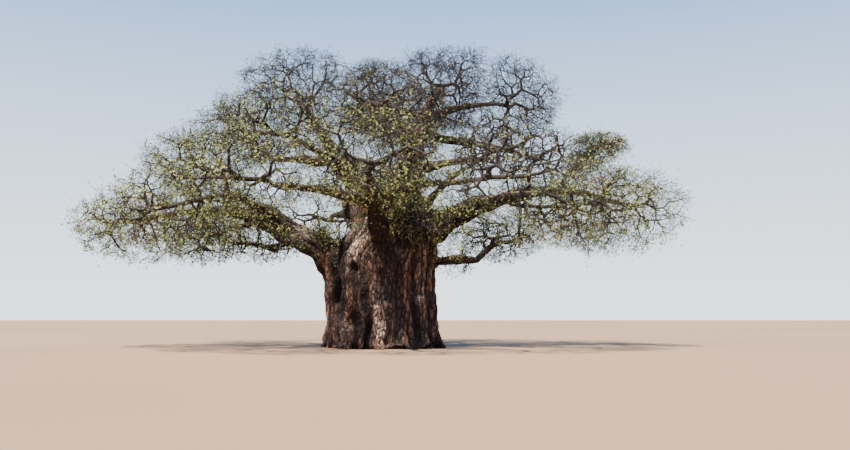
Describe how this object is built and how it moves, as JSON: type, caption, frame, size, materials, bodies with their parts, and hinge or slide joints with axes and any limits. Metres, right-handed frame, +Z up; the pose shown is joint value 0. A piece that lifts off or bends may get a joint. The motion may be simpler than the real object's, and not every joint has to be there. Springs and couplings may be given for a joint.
{
  "type": "baobab tree",
  "caption": "Large old baobab tree: a broad fluted trunk, tapering boughs and a wide domed crown of twigs and sparse leaves, cut flat at ground level.",
  "frame": {"origin": "on the ground under the middle of the trunk, in the flat cut of its base", "axes": "+Z up, +X towards the longest bough on the right-hand side, -Y towards the front, from which the tree is seen"},
  "size_m": [35.4281, 31.562, 17.3811],
  "materials": {
    "bark": "rough fluted bark",
    "foliage": "matt leaves on thin twigs"
  },
  "bodies": {
    "root": {"bough_back_left": "bark", "bough_back_right": "bark", "bough_back_right_upper": "bark", "bough_back_upper": "bark", "bough_front": "bark", "bough_front_left": "bark", "bough_front_right": "bark", "bough_left_back": "bark", "bough_left_front": "bark", "bough_left_front_upper": "bark", "bough_left_great": "bark", "bough_left_short": "bark", "bough_left_shoulder": "bark", "bough_left_under": "bark", "bough_left_upright": "bark", "bough_right_back": "bark", "bough_right_dead": "bark", "bough_right_front": "bark", "bough_right_great": "bark", "bough_right_inner": "bark", "bough_right_low": "bark", "bough_right_shoulder": "bark", "bough_right_upright": "bark", "bough_top_back": "bark", "bough_top_centre": "bark", "bough_top_front": "bark", "bough_top_right": "bark", "foliage_back_left": "foliage", "foliage_back_right": "foliage", "foliage_back_right_upper": "foliage", "foliage_back_upper": "foliage", "foliage_front": "foliage", "foliage_front_left": "foliage", "foliage_front_right": "foliage", "foliage_left_back": "foliage", "foliage_left_front": "foliage", "foliage_left_front_upper": "foliage", "foliage_left_short": "foliage", "foliage_left_shoulder": "foliage", "foliage_left_tip": "foliage", "foliage_left_under": "foliage", "foliage_left_upper": "foliage", "foliage_right_back": "foliage", "foliage_right_front": "foliage", "foliage_right_inner": "foliage", "foliage_right_low": "foliage", "foliage_right_shoulder": "foliage", "foliage_right_tip": "foliage", "foliage_right_upper": "foliage", "foliage_top_back": "foliage", "foliage_top_centre": "foliage", "foliage_top_front": "foliage", "foliage_top_left": "foliage", "foliage_top_right": "foliage", "foliage_top_right_outer": "foliage", "foliage_trunk_right": "foliage", "foliage_trunk_upper": "foliage", "leader_left": "bark", "leader_right": "bark", "trunk": "bark"}
  },
  "joints": []
}
